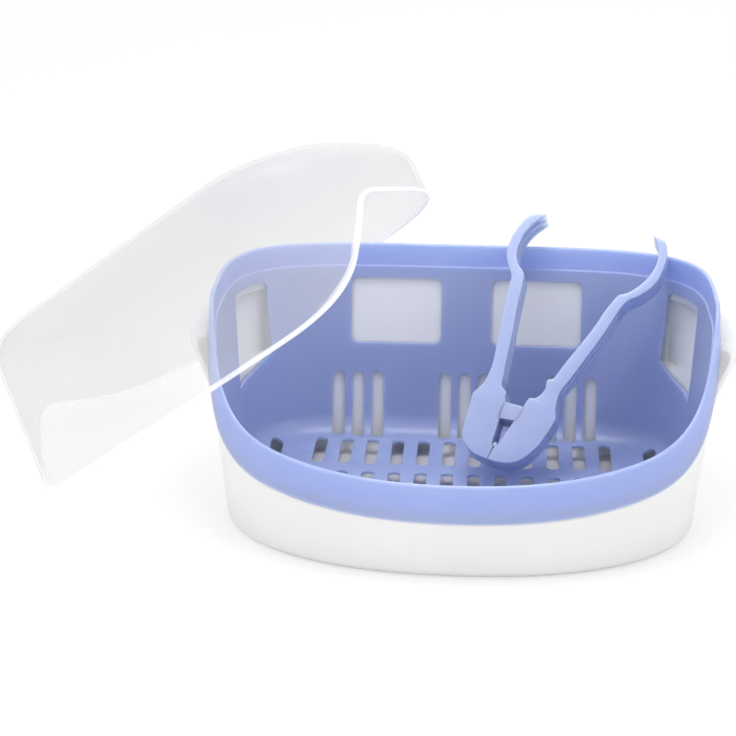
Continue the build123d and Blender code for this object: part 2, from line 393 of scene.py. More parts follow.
# Finishes


# Scale and detail of each noise
DRIFT, PATCHES, GRAIN = (9.0, 3.0), (45.0, 4.0), (2600.0, 1.0)
DRIFT_RANGE = (0.35, 0.65)
BUMP_DISTANCE = 0.0004
PLASTIC_IOR = 1.49
GLOW_RADIUS = (0.8, 0.9, 1.0)
TURN_BLEND = 0.5
TURN_POWER = 7.0


class Wiring:
    """Adds nodes to a node tree and links them."""

    def __init__(self, tree: bpy.types.NodeTree) -> None:
        """Keeps the tree that the nodes go into."""
        self.tree = tree

    def fill(self, node: bpy.types.Node, inputs: dict) -> bpy.types.Node:
        """Fills a node's inputs: an output socket is linked to, and any other value is set.

        Args:
            node: the node.
            inputs: input name or number to its socket or value.

        Returns:
            The same node.
        """
        for label, value in inputs.items():
            if isinstance(value, bpy.types.NodeSocket):
                self.tree.links.new(value, node.inputs[label])
            else:
                node.inputs[label].default_value = value
        return node

    def add(self, kind: str, inputs: dict, output: str | int = 0, **settings: str) -> bpy.types.NodeSocket:
        """Adds a node and fills its inputs.

        Args:
            kind: the node's type, less the word ShaderNode.
            inputs: input name or number to its socket or value.
            output: name or number of the output wanted.
            **settings: the node's own settings.

        Returns:
            The output socket.
        """
        node = self.tree.nodes.new(f"ShaderNode{kind}")
        for label, value in settings.items():
            setattr(node, label, value)
        return self.fill(node, inputs).outputs[output]

    def maths(self, operation: str, *values: bpy.types.NodeSocket | float) -> bpy.types.NodeSocket:
        """Adds a Math node on sockets or numbers and returns its output."""
        return self.add("Math", dict(enumerate(values)), operation=operation)


def moulded_group() -> bpy.types.NodeTree:
    """The surface of injection-moulded plastic, shared by every finish.

    Colour drifts a little with wall thickness, gloss is patchy where hands and water were, and
    a very fine spark-eroded grain with slow waviness lifts the surface.

    Returns:
        The node group with outputs Color, Roughness and Height.
    """
    tree = bpy.data.node_groups.new("moulded plastic", "ShaderNodeTree")
    takes = ("Color", "Shade", "Roughness", "Patchiness", "Grain")
    for way, labels in (("INPUT", takes), ("OUTPUT", ("Color", "Roughness", "Height"))):
        for label in labels:
            kind = "NodeSocketColor" if label in ("Color", "Shade") else "NodeSocketFloat"
            tree.interface.new_socket(label, in_out=way, socket_type=kind)
    given = tree.nodes.new("NodeGroupInput").outputs
    result = tree.nodes.new("NodeGroupOutput")
    wiring = Wiring(tree)
    place = wiring.add("TexCoord", {}, "Object")
    drift, patches, grain = (
        wiring.add("TexNoise", {"Vector": place, "Scale": scale, "Detail": detail}, "Fac")
        for scale, detail in (DRIFT, PATCHES, GRAIN)
    )
    low, high = DRIFT_RANGE
    spread = wiring.add("MapRange", {"Value": drift, "From Min": low, "From Max": high}, "Result")
    colors = {"Factor": spread, "A": given["Color"], "B": given["Shade"]}
    tint = wiring.add("Mix", colors, "Result", data_type="RGBA")
    centred = wiring.maths("SUBTRACT", patches, 0.5)
    gloss = wiring.maths("MULTIPLY_ADD", centred, given["Patchiness"], given["Roughness"])
    lift = wiring.maths("MULTIPLY_ADD", grain, given["Grain"], drift)
    wiring.fill(result, {"Color": tint, "Roughness": gloss, "Height": lift})
    return tree


@dataclass(frozen=True)
class Plastic:
    """One moulded plastic finish, with linear colours."""

    name: str
    color: Triple
    shade: Triple
    roughness: float
    patchiness: float = 0.10
    grain: float = 0.25
    bump: float = 0.12
    glow: float = 0.0
    glow_depth: float = 0.010

    def material(self) -> bpy.types.Material:
        """Builds the material, once.

        Returns:
            The material, with the finish's own name.
        """
        ready = bpy.data.materials.get(self.name)
        if ready:
            return ready
        material = bpy.data.materials.new(self.name)
        material.use_nodes = True
        wiring = Wiring(material.node_tree)
        group = material.node_tree.nodes.new("ShaderNodeGroup")
        group.node_tree = bpy.data.node_groups.get("moulded plastic") or moulded_group()
        values = {
            "Color": (*self.color, 1),
            "Shade": (*self.shade, 1),
            "Roughness": self.roughness,
            "Patchiness": self.patchiness,
            "Grain": self.grain,
        }
        surface = wiring.fill(group, values).outputs
        relief = {"Strength": self.bump, "Distance": BUMP_DISTANCE, "Height": surface["Height"]}
        inputs = {
            "Base Color": surface["Color"],
            "Roughness": surface["Roughness"],
            "Normal": wiring.add("Bump", relief, "Normal"),
            "IOR": PLASTIC_IOR,
            "Subsurface Weight": self.glow,
            "Subsurface Radius": GLOW_RADIUS,
            "Subsurface Scale": self.glow_depth,
        }
        wiring.fill(material.node_tree.nodes["Principled BSDF"], inputs | self.wall(wiring, surface))
        return material

    def wall(self, wiring: Wiring, surface: bpy.types.bpy_prop_collection) -> dict:
        """The shader inputs that a thin clear wall has of its own: none here."""
        return {}


@dataclass(frozen=True)
class ClearPlastic(Plastic):
    """A thin clear wall, which shows what is behind it.

    It is denser where it turns away from the eye. Where the mesh's lip attribute is 1 it is denser still
    and lighter in colour, a painted highlight along the edge.
    Light other than the eye's own passes more freely, by the passing share.
    """

    alpha: float = 0.18
    turned_alpha: float = 0.75
    lip_alpha: float = 0.50
    # Lighter colour of the lip: a painted highlight along the lid's lower edge
    lip_highlight_color: Triple = (0.97, 0.97, 0.97)
    passing: float = 0.35

    def wall(self, wiring: Wiring, surface: bpy.types.bpy_prop_collection) -> dict:
        """The clear wall's alpha and the painted highlight colour of its lip.

        Alpha goes from its own value to the turned one with the seventh power of how far the
        surface turns from the eye, and to the lip's value in the lip.

        Args:
            wiring: adds nodes to the material.
            surface: the outputs of its moulded plastic group.

        Returns:
            The shader's Base Color and Alpha.
        """
        lip = wiring.add("Attribute", {}, "Fac", attribute_name=LIP)
        # The lip takes a lighter colour, a painted highlight, besides its denser alpha
        colors = {"Factor": lip, "A": surface["Color"], "B": (*self.lip_highlight_color, 1)}
        turn = wiring.add("LayerWeight", {"Blend": TURN_BLEND}, "Facing")
        steep = wiring.maths("POWER", turn, TURN_POWER)
        ends = {"Value": steep, "To Min": self.alpha, "To Max": self.turned_alpha}
        body = wiring.add("MapRange", ends, "Result")
        alpha = wiring.add("Mix", {"Factor": lip, "A": body, "B": self.lip_alpha}, "Result")
        eye = wiring.add("LightPath", {}, "Is Camera Ray")
        seen = wiring.add("MapRange", {"Value": eye, "To Min": self.passing}, "Result")
        return {
            "Base Color": wiring.add("Mix", colors, "Result", data_type="RGBA"),
            "Alpha": wiring.maths("MULTIPLY", alpha, seen),
        }


WHITE = Plastic(
    "white polypropylene", (0.80,) * 3, (0.775,) * 3, roughness=0.38, glow=0.40, glow_depth=0.003
)
LAVENDER = Plastic(
    "lavender polypropylene", (0.335, 0.398, 0.700), (0.318, 0.380, 0.682), roughness=0.30, glow=0.70
)
TONGS_BLUE = Plastic(
    "tongs polypropylene", (0.385, 0.448, 0.690), (0.365, 0.430, 0.672), roughness=0.34, glow=0.60
)
CLEAR = ClearPlastic("clear polypropylene", (0.66,) * 3, (0.58,) * 3, roughness=0.22, grain=0.08)


def dress(piece: Piece, finish: Plastic, body: Body, node: str) -> None:
    """Gives a piece its finish and body, and hides the CAD node that it replaces.

    Args:
        piece: the mesh object.
        finish: the plastic it is made of.
        body: the body it moves with.
        node: the CAD node that it replaces.
    """
    piece.data.materials.clear()
    piece.data.materials.append(finish.material())
    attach(piece, body.value)
    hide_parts(node)
    log.info("%s: %d faces, rides %s", piece.name, len(piece.data.polygons), body.value)


# Tub


@dataclass
class Tub:
    """White tub: a drafted wall under the collar, a flat floor and a hollow grip at each end."""

    wall: float = 2.5
    foot_inset: float = 8.6
    foot_radius: float = 4.0
    foot_steps: int = 7
    top_inset: float = -0.8
    top_drop: float = 20.3
    edge_radius: float = 0.8
    edge_steps: int = 4
    floor_sizes: Sizes = (0.8, 0.5, 0.2, 0.0)
    low_rows: int = 28
    high_rows: int = 44
    high_share: float = 0.9
    grip_reach: float = 14.0
    grip_half_length: float = 72.0
    grip_middle_y: float = 18.0
    grip_root_depth: float = 20.0
    grip_top: float = 106.0
    grip_full: float = 98.0
    grip_foot: float = 60.0
    grip_edge: float = 3.0
    grip_blend: float = 2.2

    def bulged(self, rings: np.ndarray, inset: float) -> np.ndarray:
        """Pushes the ends of a wall face out into the grips.

        At height z a grip is an arc through its two roots and its middle, whose reach grows
        from the foot of the grip to its full height and then stays, less a round edge at the
        top. The wall takes the smooth maximum of its own x and the arc's x, which is the
        larger of the two plus d squared over four times the blend, where d is how far the
        blend exceeds their difference.

        Args:
            rings: (rows, points, 3) face of the wall.
            inset: distance inside the outer face.

        Returns:
            The rings with their ends moved out.
        """
        x, y, z = rings[..., 0], rings[..., 1], rings[..., 2]
        top = self.grip_top - inset
        share = np.clip((z - self.grip_foot - inset) / (self.grip_full - self.grip_foot - inset), 0, 1)
        start = RIM.half_width - self.wall - inset
        reach = start + (self.grip_reach + self.wall) * share
        root = RIM.half_width - self.grip_root_depth
        half = self.grip_half_length - inset
        sag = reach - root
        radius = (half**2 + sag**2) / (2 * sag)
        off = y - self.grip_middle_y
        arc = reach - radius + np.sqrt(np.maximum(radius**2 - off**2, 0))
        edge = np.clip(z - (top - self.grip_edge), 0, self.grip_edge)
        arc -= self.grip_edge - np.sqrt(self.grip_edge**2 - edge**2)
        arc = np.where((z > top) | (np.abs(off) > half) | (share <= 0), 0, arc)
        size = np.abs(x)
        overlap = np.maximum(self.grip_blend - np.abs(size - arc), 0)
        size = np.maximum(size, arc) + np.where(arc > 0, overlap**2 / (4 * self.grip_blend), 0)
        return np.stack([np.sign(x) * size, y, z], -1)

    def skin(self, inset: float) -> np.ndarray:
        """Rings of one face of the wall: a round bend from the floor, straight up, then the grips.

        Args:
            inset: distance inside the outer face, and height of the floor that the face rises from.

        Returns:
            A (rings, points, 3) array from the floor up.
        """
        foot = np.insert(RIM.plan(self.foot_inset + inset), 2, 0, 1)
        top = hung(np.array([self.top_inset + inset]), np.array([self.top_drop + self.edge_radius]))[0]
        sines, cosines = quarter(self.foot_steps)
        heights = (inset + self.foot_radius * (1 - cosines))[:, None]
        rings = foot + (top - foot) * (heights / top[:, 2])[..., None]
        pull = (self.foot_radius * (1 - sines))[:, None] / np.hypot(rings[..., 0], rings[..., 1])
        rings[..., :2] *= 1 - pull[..., None]
        low = np.linspace(0, self.high_share, self.low_rows)[1:]
        high = np.linspace(self.high_share, 1, self.high_rows)[1:]
        wall = between(rings[-1], top, np.concatenate([low, high]))
        return self.bulged(np.concatenate([rings, wall]), inset)

    def build(self) -> None:
        """Makes the outer face, rounded top edge, inner face and floor as one skin."""
        outer, inner = self.skin(0.0), self.skin(self.wall)
        sines, cosines = quarter(self.edge_steps)
        drop = self.top_drop + self.edge_radius * (1 - sines)
        lip_out = hung(self.top_inset + self.edge_radius * (1 - cosines), drop)
        lip_in = hung(self.top_inset + self.wall - self.edge_radius * (1 - cosines), drop)
        rings = [
            disc(outer[0], self.floor_sizes)[::-1],
            outer,
            lip_out[1:],
            lip_in[::-1][:-1],
            inner[::-1],
            disc(inner[0], self.floor_sizes),
        ]
        piece = grid_object("tub", [(np.concatenate(rings), False, True)])
        dress(piece, WHITE, Body.TUB, "base_tub")


# Basket


@dataclass
class Basket:
    """Lavender basket: a collar over the tub's edge, a ledge, and a slotted and windowed bowl.

    A row of floor slots gives its middle, the slots' length and their number. An end slot gives
    x, y and length. The collar's foot, the ledge's corner and lip and the part under the collar
    give pairs of how far in and how far up or down each ring is. A corner window gives places
    along the corner and up.
    """

    collar_height: float = 20.0
    collar_flare: float = 1.6
    collar_wall: float = 2.4
    collar_relief: float = 0.1
    collar_taper: float = 0.35
    collar_foot: Pairs = ((0.5, 0.0), (0.1, 0.1))
    collar_rows: int = 12
    collar_inner_rows: int = 8
    top_radius: float = 1.1
    round_steps: int = 6
    ledge_drop: float = 13.3
    ledge_thickness: float = 2.0
    ledge_inset: float = 3.6
    ledge_corner: Pairs = ((0.09, 0.35), (0.27, 0.1), (0.45, 0.0))
    ledge_lip: Pairs = ((0.35, 0.0), (0.1, 0.12), (0.0, 0.5))
    ledge_lip_height: float = 0.8
    under_collar: Pairs = ((0.9, 15.3), (1.0, 15.6), (1.6, 20.0))
    wall: float = 2.0
    inner_rows: int = 34
    outer_rows: int = 20
    floor_top: float = 13.0
    floor_inset: float = 13.2
    floor_radius: float = 12.0
    floor_steps: int = 10
    floor_sizes: Sizes = (0.85, 0.7, 0.55, 0.4, 0.25, 0.12, 0.0)
    slot_width: float = 7.3
    slot_pitch: float = 15.33
    slot_rows: tuple[tuple[float, float, int], ...] = (
        (55.0, 40.0, 12), (4.75, 39.5, 12), (-43.5, 37.0, 10),
    )
    end_slot: Triple = (110.5, 49.0, 34.0)
    slot_end_gap: float = 0.01
    cut_below: float = 5.0
    cut_through: float = 8.0
    wall_slot_pitch: float = 11.66
    wall_slot_group: float = 63.8
    wall_slot_top: float = 51.0
    wall_slot_hidden: float = 12.0
    back_cut_start: float = 79.0
    back_cut_depth: float = 21.0
    window_top: float = 108.5
    window_height: float = 39.7
    window_middle: float = 41.6
    window_width: float = 53.6
    window_radius: float = 4.5
    corner_window: Pairs = (
        (26.5, 108.5), (57.0, 108.5), (62.0, 54.5), (52.0, 56.0), (42.0, 58.0), (33.0, 62.0), (26.5, 67.0),
    )
    corner_radius: float = 4.0
    corner_cut_start: float = 108.0
    corner_cut_depth: float = 45.0
    corner_steps: int = 7
    arc_steps: int = 8
    sharp_above: float = 35.0
    cut_bevel: float = 0.45
    bevel_steps: int = 2
    bevel_above: float = 50.0

    def collar_outside(self) -> np.ndarray:
        """Collar face: a chamfered bottom edge, a flared wall and half of the rounded top.

        Returns:
            A (rings, points, 3) array from the bottom up.
        """
        r = self.top_radius
        sines, cosines = quarter(self.round_steps)
        foot_in, foot_up = np.array(self.collar_foot).T
        straight = np.linspace(self.collar_height - foot_in[0], r, self.collar_rows)
        drop = np.concatenate([straight, r - r * sines[1:]])
        inset = -self.collar_flare * drop / self.collar_height
        inset[self.collar_rows :] += r * (1 - cosines[1:])
        foot = foot_in - self.collar_flare
        return hung(np.concatenate([foot, inset]), np.concatenate([self.collar_height - foot_up, drop]))

    def collar_inside(self) -> np.ndarray:
        """Inner face of the collar down to the ledge, with the ledge's rounded lip.

        Returns:
            A (rings, points, 3) array from the top down.
        """
        r = self.top_radius
        sines, cosines = quarter(self.round_steps)
        corner_in, corner_up = np.array(self.ledge_corner).T
        lip_out, lip_down = np.array(self.ledge_lip).T
        straight = np.linspace(r, self.ledge_drop - 2 * corner_up[0], self.collar_inner_rows)[1:]
        drop = np.concatenate([r - r * sines[::-1], straight])
        inset = self.collar_wall - self.collar_relief + self.collar_taper * drop / self.ledge_drop
        inset[: self.round_steps] -= r * (1 - cosines[::-1])
        drop = np.concatenate([drop, self.ledge_drop - corner_up, self.ledge_drop + lip_down])
        inset = np.concatenate([inset, inset[-1] + corner_in, self.ledge_inset - lip_out])
        return hung(inset, drop)

    def bowl(self, grow: float, top_drop: float, count: int) -> np.ndarray:
        """One face of the bowl, from the floor's edge up to a place under the rim.

        The wall is ruled from the floor's outline to the ledge's outline, and a quarter round
        of the floor's radius joins them.

        Args:
            grow: distance outside the inner face.
            top_drop: distance of the last ring below the rim.
            count: number of rings on the straight part.

        Returns:
            A (rings, points, 3) array from the floor up.
        """
        radius = self.floor_radius + grow
        foot = np.insert(RIM.plan(self.floor_inset - grow), 2, self.floor_top, 1)
        ledge = hung(np.array([self.ledge_inset - grow]), np.array([self.ledge_drop]))[0]
        sines, cosines = quarter(self.floor_steps)
        height = (self.floor_top - grow + radius * (1 - cosines))[:, None]
        share = (height - self.floor_top) / (ledge[:, 2] - self.floor_top)
        rings = foot + (ledge - foot) * share[..., None]
        rings[..., :2] *= 1 - radius * (1 - sines)[:, None, None] / [RIM.half_width, RIM.half_depth]
        rings[..., 2] = height
        top = ledge + [0, 0, self.ledge_drop - top_drop]
        return np.concatenate([rings, between(rings[-1], top, np.linspace(0, 1, count)[1:])])

    def shell(self) -> Piece:
        """The whole moulding before it is pierced.

        Returns:
            A closed skin.
        """
        inner = self.bowl(0.0, self.ledge_drop + self.ledge_lip_height, self.inner_rows)
        outer = self.bowl(self.wall, self.ledge_drop + self.ledge_thickness, self.outer_rows)
        under_out, under_drop = np.array(self.under_collar).T
        rings = [
            self.collar_outside(),
            self.collar_inside(),
            inner[::-1],
            disc(inner[0], self.floor_sizes),
            disc(outer[0], self.floor_sizes)[::-1],
            outer,
            hung(self.collar_wall - under_out, under_drop),
        ]
        return grid_object("basket", [(np.concatenate(rings), True, True)])

    def prism(self, flat: np.ndarray, origin: Triple, axes: np.ndarray, depth: float) -> Piece:
        """A closed prism on a flat outline, for cutting.

        Args:
            flat: (n, 2) outline.
            origin: place of the outline's zero.
            axes: 3 rows: the outline's two directions and the direction of depth.
            depth: length of the prism.

        Returns:
            The prism.
        """
        base = origin + flat @ axes[:2]
        middle = np.broadcast_to(base.mean(0), base.shape)
        reach = axes[2] * depth
        rings = np.stack([middle, base, base + reach, middle + reach])
        return grid_object("cutter", [(rings, False, True)])

    def rounded(self, width: float, height: float, radius: float) -> np.ndarray:
        """Outline of a rectangle whose corners are quarter circles.

        Args:
            width: its whole width.
            height: its whole height.
            radius: radius of the corners.

        Returns:
            An (n, 2) outline about zero.
        """
        reach = [width / 2 - radius, height / 2 - radius]
        corners = np.array([[1, 1], [-1, 1], [-1, -1], [1, -1]]) * reach
        turns = np.radians(np.linspace(0, 90, self.arc_steps)[None, :] + np.arange(4)[:, None] * 90)
        arcs = corners[:, None, :] + radius * np.stack([np.cos(turns), np.sin(turns)], -1)
        return arcs.reshape(-1, 2)

    def slot(self, length: float) -> np.ndarray:
        """Outline of a slot with round ends."""
        return self.rounded(self.slot_width, length, self.slot_width / 2 - self.slot_end_gap)

    def cutters(self) -> list[Piece]:
        """Prisms for every slot and window.

        Returns:
            The floor's slots, the back wall's slots, the windows and the corner windows.
        """
        up = np.eye(3)
        back = up[[0, 2, 1]]
        low, thick = self.floor_top - self.cut_below, self.cut_through
        cuts = []
        for middle, length, count in self.slot_rows:
            across = (np.arange(count) - (count - 1) / 2) * self.slot_pitch
            cuts += [(self.slot(length), (x, middle, low), up, thick) for x in across]
        x, y, length = self.end_slot
        cuts += [(self.slot(length), (x * side.value, y, low), up, thick) for side in Side]
        start, deep = self.back_cut_start, self.back_cut_depth
        length = self.wall_slot_top - self.floor_top + self.wall_slot_hidden
        for group in (-1, 0, 1):
            across = group * self.wall_slot_group + np.array([-1, 0, 1]) * self.wall_slot_pitch
            z = self.wall_slot_top - length / 2
            cuts += [(self.slot(length), (x, start, z), back, deep) for x in across]
        window = self.rounded(self.window_width, self.window_height, self.window_radius)
        z = self.window_top - self.window_height / 2
        cuts += [(window, (self.window_middle * side.value, start, z), back, deep) for side in Side]
        corner = self.softened(np.array(self.corner_window), self.corner_radius)
        for side in Side:
            x, y = np.sqrt(0.5) * side.value, np.sqrt(0.5)
            axes = np.array([[x, -y, 0], [0, 0, 1], [x, y, 0]])
            cuts.append((corner, axes[2] * self.corner_cut_start, axes, self.corner_cut_depth))
        return [self.prism(*parts) for parts in cuts]

    def softened(self, corners: np.ndarray, radius: float) -> np.ndarray:
        """An outline whose first two corners are rounded and whose others stay as they are.

        Args:
            corners: (n, 2) corners in order.
            radius: how far from a corner its rounding starts.

        Returns:
            The outline's points.
        """
        t = np.linspace(0, 1, self.corner_steps)[:, None]
        points = []
        for before, corner, after in zip(np.roll(corners, 1, 0)[:2], corners[:2], corners[1:3]):
            start = corner + (before - corner) / np.linalg.norm(before - corner) * radius
            end = corner + (after - corner) / np.linalg.norm(after - corner) * radius
            points.append((1 - t) ** 2 * start + 2 * t * (1 - t) * corner + t**2 * end)
        return np.concatenate([*points, corners[2:]])

    def build(self) -> None:
        """Makes the basket, pierces it and rounds the cut edges."""
        piece = self.shell()
        cut(piece, self.cutters())
        clean(piece, self.sharp_above)
        bevel(piece, self.cut_bevel, self.bevel_steps, self.bevel_above)
        dress(piece, LAVENDER, Body.TRAY, "basket")


# Lid


@dataclass
class Lid:
    """Clear dome lid whose lower edge follows the basket's rim, leaning as in the photo."""

    clearance: float = 0.45
    collar_wall: float = 2.4
    wall: float = 2.0
    wall_rows: int = 36
    draft: float = 2.0
    edge_drop: float = 13.0
    edge_round: float = 0.9
    edge_steps: int = 7
    roof: float = 152.95
    roof_radius: float = 16.0
    roof_steps: int = 12
    roof_sizes: Sizes = (0.9, 0.75, 0.6, 0.45, 0.3, 0.15, 0.0)
    foot: float = 42.2
    front_lean: float = 22.0
    front_bend: float = 14.0
    lip_height: float = 2.6
    lip_margin: float = 0.8
    lip_rows: int = 7
    lip_fade: float = 0.5
    pivot_height: float = 95.0
    place: Triple = (-141.44, 35.24, 88.15)
    long_axis: Triple = (0.73733, -0.30758, 0.60144)
    roof_axis: Triple = (-0.44253, 0.45276, 0.77406)

    def turned(self, points: np.ndarray) -> np.ndarray:
        """Points of the closed lid moved to where it leans."""
        axes = square(self.long_axis, self.roof_axis)
        return (points - [0, 0, self.pivot_height]) @ axes + np.array(self.place)

    def face(self, depth: float) -> np.ndarray:
        """Rings of one face, from the lower edge to the middle of the roof.

        The wall is ruled from the lid's foot to its shoulder, and a round of the roof's radius
        joins it to the flat roof.

        Args:
            depth: distance inside the outer face.

        Returns:
            A (rings, points, 3) array.
        """
        radius, roof = self.roof_radius - depth, self.roof - depth
        base = self.collar_wall + self.clearance + depth
        shoulder_z = roof - radius

        def at(height: float, pull: float = 0.0) -> np.ndarray:
            """The drafted wall's outline at a height, pulled in."""
            return self.ring(base + self.draft * height / roof + pull, height, roof)

        edge = hung(np.array([base]), np.array([self.edge_drop]))[0][:, 2]
        lip_top = self.lip_height + self.lip_margin
        lip = edge + np.linspace(self.edge_round, lip_top, self.lip_rows)[:, None]
        rest = lip[-1] + (shoulder_z - lip[-1]) * np.linspace(0, 1, self.wall_rows)[1:, None]
        share = (np.concatenate([lip, rest]) - self.foot) / (shoulder_z - self.foot)
        foot, shoulder = at(self.foot), at(shoulder_z)
        wall = foot + (shoulder - foot) * share[..., None]
        sines, cosines = quarter(self.roof_steps)
        turn = zip(sines[1:], cosines[1:])
        bend = np.stack([at(shoulder_z + radius * sine, radius * (1 - cosine)) for sine, cosine in turn])
        return np.concatenate([wall, bend, disc(bend[-1], self.roof_sizes)])

    def ring(self, inset: float, height: float, roof: float) -> np.ndarray:
        """Outline of the lid at one height.

        The front of the plan is pressed flat where it passes a straight line f behind the
        plan's front: y moves towards -(|y|^-k + f^-k)^(-1/k), more so the higher it is.

        Args:
            inset: distance inside the rim.
            height: height of the ring.
            roof: height of the roof, where the front is flattest.

        Returns:
            A (points, 3) ring.
        """
        x, y = RIM.plan(inset).T
        flat = RIM.half_depth - inset - self.front_lean
        k = self.front_bend
        level = -((np.abs(y) ** -k + flat**-k) ** (-1 / k))
        share = (height - self.foot) / (roof - self.foot)
        y = np.where(y < 0, y + share * (level - y), y)
        return np.stack([x, y, np.full(RIM.steps, height)], 1)

    def build(self) -> None:
        """Makes the lid, whose lip is marked for its denser alpha and its painted highlight."""
        outer, inner = self.face(0.0), self.face(self.wall)
        rings = np.concatenate([inner[::-1], self.edge(inner[0], outer[0]), outer])
        piece = grid_object("clear_lid", [(self.turned(rings), False, True)])
        self.mark(piece)
        dress(piece, CLEAR, Body.COVER, "lid")

    def edge(self, inner: np.ndarray, outer: np.ndarray) -> np.ndarray:
        """Rings of the rounded lower edge, from the inner face to the outer one.

        Both faces end a round's radius above the edge. Each ring mixes the two ends by
        (1 - cos t) / 2, lowered by the radius times sin t.

        Args:
            inner: the inner face's lowest ring.
            outer: the outer face's lowest ring.

        Returns:
            A (rings, points, 3) array.
        """
        turn = np.linspace(0, np.pi, self.edge_steps)[1:-1, None, None]
        rings = inner + (outer - inner) * (1 - np.cos(turn)) / 2
        return rings - np.sin(turn) * np.array([0, 0, self.edge_round])

    def mark(self, piece: Piece) -> None:
        """Marks the lip: 1 within its height of the lower edge and 0 above, with a short fade.

        The distance is how far a point is above the edge, over the square root of 1 plus the
        rim's slope squared.

        Args:
            piece: the lid.
        """
        places = np.empty(len(piece.data.vertices) * 3)
        piece.data.vertices.foreach_get("co", places)
        axes = square(self.long_axis, self.roof_axis)
        closed = (places.reshape(-1, 3) / METRES - np.array(self.place)) @ axes.T
        y = closed[:, 1]
        above = closed[:, 2] + self.pivot_height - RIM.rim(y) + self.edge_drop
        slope = RIM.rim(y + 0.5) - RIM.rim(y - 0.5)
        share = np.clip((self.lip_height - above / np.sqrt(1 + slope**2)) / self.lip_fade + 0.5, 0, 1)
        piece.data.attributes.new(LIP, "FLOAT", "POINT").data.foreach_set("value", share)


# Tongs


